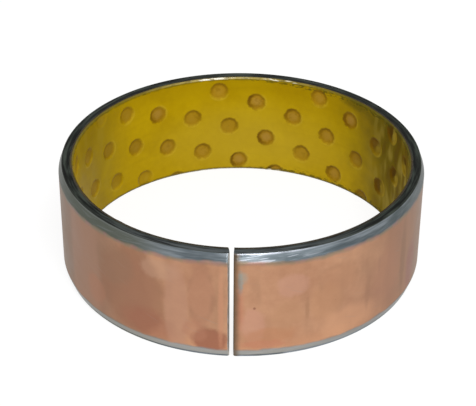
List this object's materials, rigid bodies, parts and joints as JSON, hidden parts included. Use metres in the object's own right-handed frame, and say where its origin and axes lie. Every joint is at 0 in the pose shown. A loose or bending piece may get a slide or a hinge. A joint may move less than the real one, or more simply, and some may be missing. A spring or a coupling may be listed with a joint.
{
  "type": "camshaft bushing",
  "caption": "Split wrapped plain bushing: copper-flashed steel strip with turned end chamfers, bronze interlayer and an acetal lining with round grease indents.",
  "frame": {"origin": "centre of the lower end face, on the bore axis", "axes": "+Z along the bore axis; the open joint faces -Y"},
  "size_m": [0.06, 0.06, 0.019],
  "materials": {
    "copper_flashed_steel": "matt copper flash on the outside, bare turned steel on the end chamfers",
    "sintered_bronze": "dull sintered bronze",
    "yellow_acetal": "satin acetal, slightly mottled"
  },
  "bodies": {
    "root": {"steel_backing": "copper_flashed_steel", "bronze_interlayer": "sintered_bronze", "acetal_lining": "yellow_acetal"}
  },
  "joints": []
}
